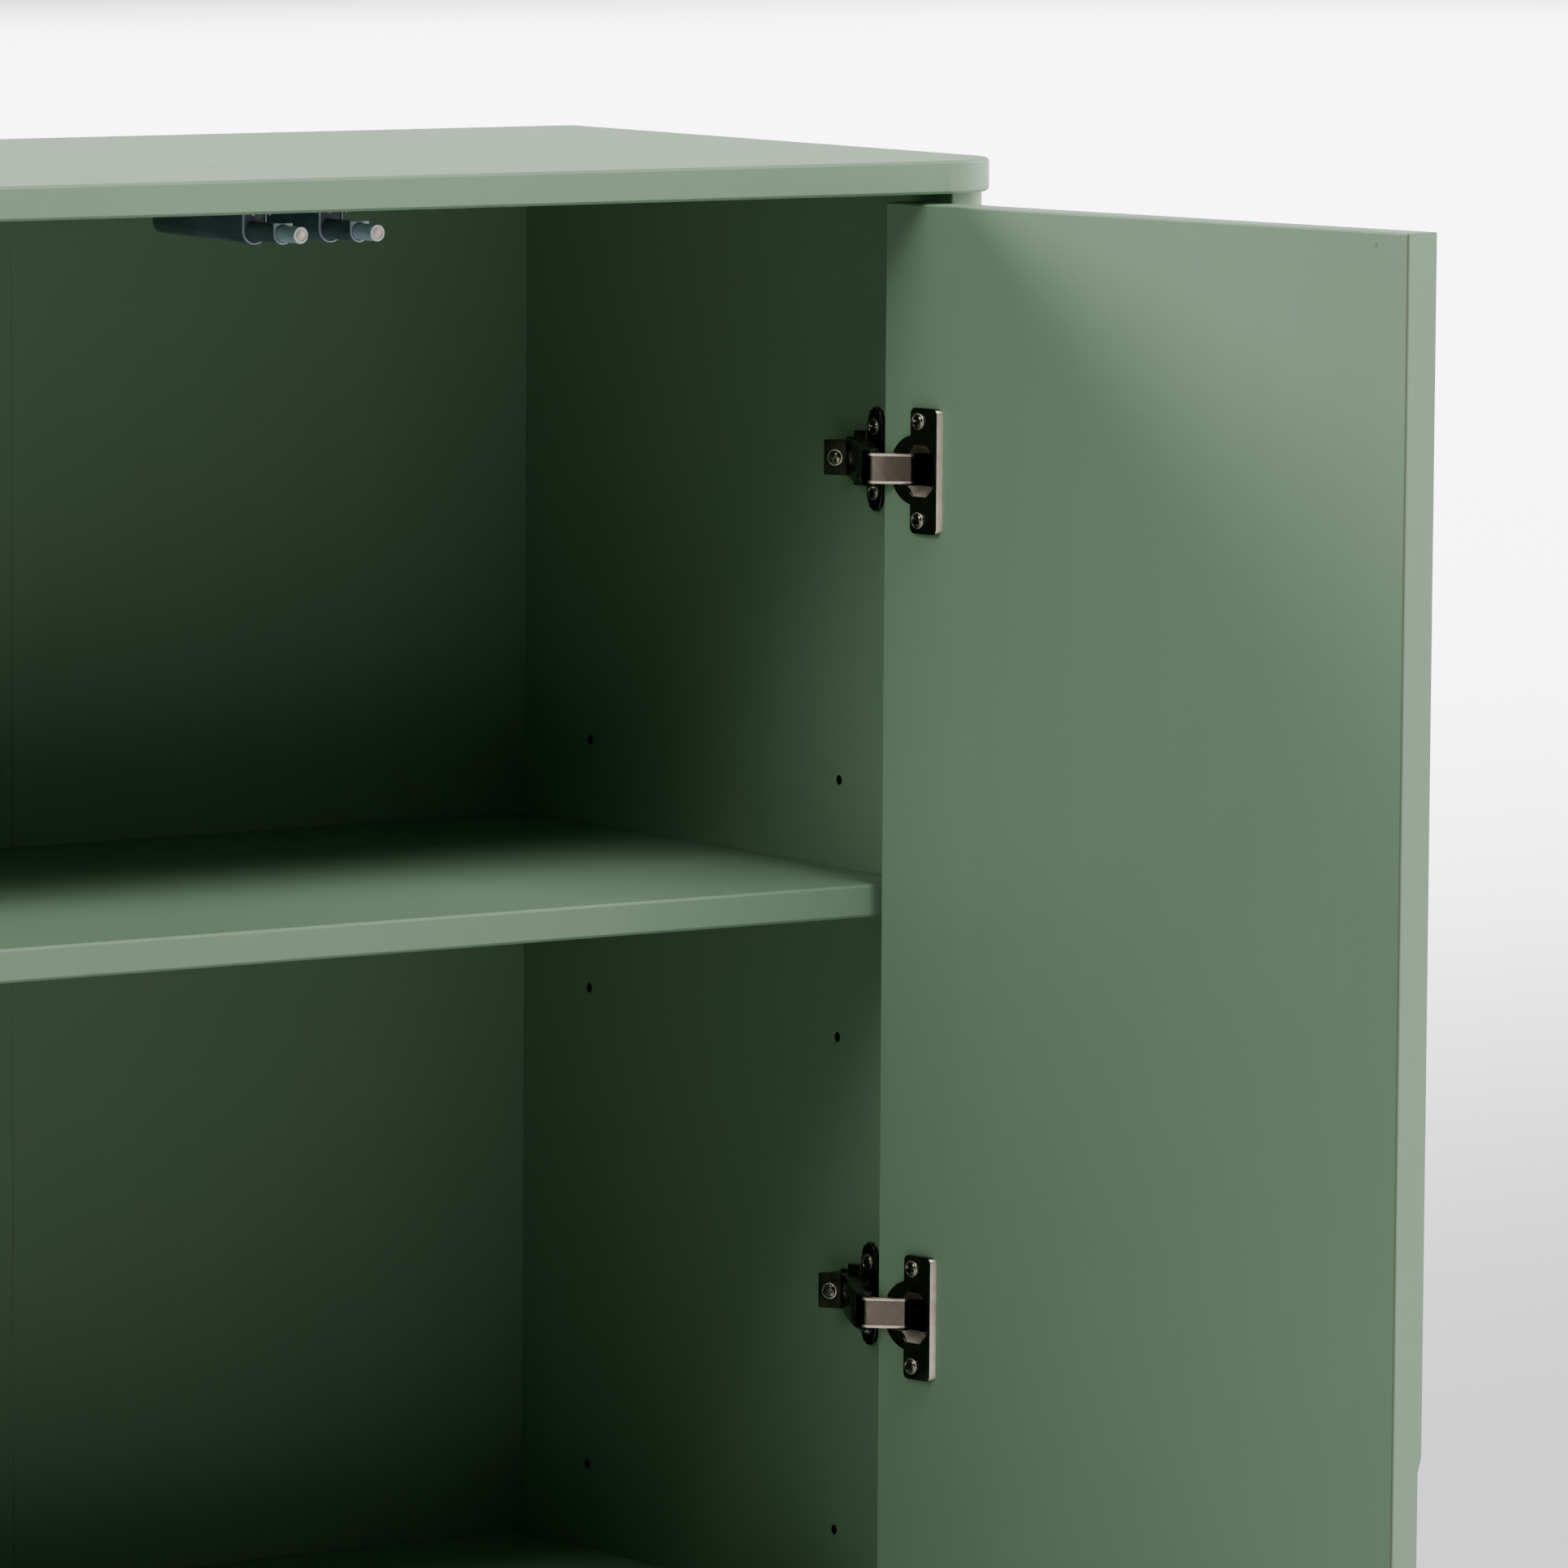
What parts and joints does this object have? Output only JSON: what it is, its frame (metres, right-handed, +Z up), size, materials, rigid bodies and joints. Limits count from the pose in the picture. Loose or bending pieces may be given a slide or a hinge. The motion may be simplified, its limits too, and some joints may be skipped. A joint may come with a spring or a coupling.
{
  "type": "two-door cupboard",
  "caption": "Free-standing two-door cupboard with adjustable shelves behind inset doors on concealed cup hinges, held shut by push latches.",
  "frame": {"origin": "on the floor, in the middle of the cupboard's width and of its top panel's depth, on the plinth's centre rail", "axes": "+X to the right seen from the front, +Y to the back, +Z up; the doors face -Y"},
  "size_m": [0.7934, 0.7063, 1.2],
  "materials": {
    "satin_green_paint": "satin sage green lacquer on fibreboard",
    "bright_nickel": "bright nickel plating",
    "black_nickel": "polished black nickel plating",
    "screw_nickel": "dark nickel plating",
    "latch_plastic": "dark blue-grey moulded plastic",
    "plunger_plastic": "light blue-grey moulded plastic",
    "magnet_face": "dull plated magnet face",
    "clear_plastic": "clear moulded plastic"
  },
  "bodies": {
    "carcass": {"top_panel": "satin_green_paint", "bottom_panel": "satin_green_paint", "left_side_panel": "satin_green_paint", "right_side_panel": "satin_green_paint", "upper_shelf": "satin_green_paint", "lower_shelf": "satin_green_paint", "back_panel_left": "satin_green_paint", "back_panel_right": "satin_green_paint", "back_batten": "satin_green_paint", "plinth_front_rail": "satin_green_paint", "plinth_back_rail": "satin_green_paint", "plinth_left_rail": "satin_green_paint", "plinth_right_rail": "satin_green_paint", "plinth_centre_rail": "satin_green_paint", "upper_shelf_pins": "clear_plastic", "lower_shelf_pins": "clear_plastic", "latch_screws": "screw_nickel", "batten_screws": "screw_nickel", "left_hinge_arms": "black_nickel", "left_arm_pins": "black_nickel", "left_arm_screws": "screw_nickel", "left_mounting_plates": "black_nickel", "left_plate_screws": "screw_nickel", "left_latch_tube": "latch_plastic", "left_latch_cradle": "latch_plastic", "right_hinge_arms": "black_nickel", "right_arm_pins": "black_nickel", "right_arm_screws": "screw_nickel", "right_mounting_plates": "black_nickel", "right_plate_screws": "screw_nickel", "right_latch_tube": "latch_plastic", "right_latch_cradle": "latch_plastic"},
    "left_door": {"left_door": "satin_green_paint", "left_hinge_cups": "black_nickel", "left_cup_pins": "black_nickel", "left_cup_screws": "screw_nickel"},
    "left_links": {"left_hinge_links": "bright_nickel"},
    "left_plunger": {"left_latch_plunger": "plunger_plastic", "left_plunger_magnet": "magnet_face"},
    "right_door": {"right_door": "satin_green_paint", "right_hinge_cups": "black_nickel", "right_cup_pins": "black_nickel", "right_cup_screws": "screw_nickel"},
    "right_links": {"right_hinge_links": "bright_nickel"},
    "right_plunger": {"right_latch_plunger": "plunger_plastic", "right_plunger_magnet": "magnet_face"}
  },
  "joints": [
    {"name": "left_door_swing", "type": "hinge", "parent": "carcass", "child": "left_door", "pos_m": [-0.3321, -0.1786, 0], "axis": [0, 0, 1], "range_deg": [0, 100]},
    {"name": "left_link_swing", "type": "hinge", "parent": "carcass", "child": "left_links", "pos_m": [-0.311, -0.171, 0], "axis": [0, 0, 1], "range_deg": [-39.7, 0]},
    {"name": "left_plunger_slide", "type": "slide", "parent": "carcass", "child": "left_plunger", "axis": [0, 1, 0], "range_m": [0, 0.0201]},
    {"name": "right_door_swing", "type": "hinge", "parent": "carcass", "child": "right_door", "pos_m": [0.3321, -0.1786, 0], "axis": [0, 0, 1], "range_deg": [-100, 0]},
    {"name": "right_link_swing", "type": "hinge", "parent": "carcass", "child": "right_links", "pos_m": [0.311, -0.171, 0], "axis": [0, 0, 1], "range_deg": [0, 39.7]},
    {"name": "right_plunger_slide", "type": "slide", "parent": "carcass", "child": "right_plunger", "axis": [0, 1, 0], "range_m": [0, 0.0201]}
  ],
  "couplings": [
    {"joint": "left_link_swing", "follows": "left_door_swing", "ratio": -0.39627},
    {"joint": "left_plunger_slide", "follows": "left_door_swing", "m_per_rad": 0.011459},
    {"joint": "right_link_swing", "follows": "right_door_swing", "ratio": -0.39627},
    {"joint": "right_plunger_slide", "follows": "right_door_swing", "m_per_rad": -0.011459}
  ]
}
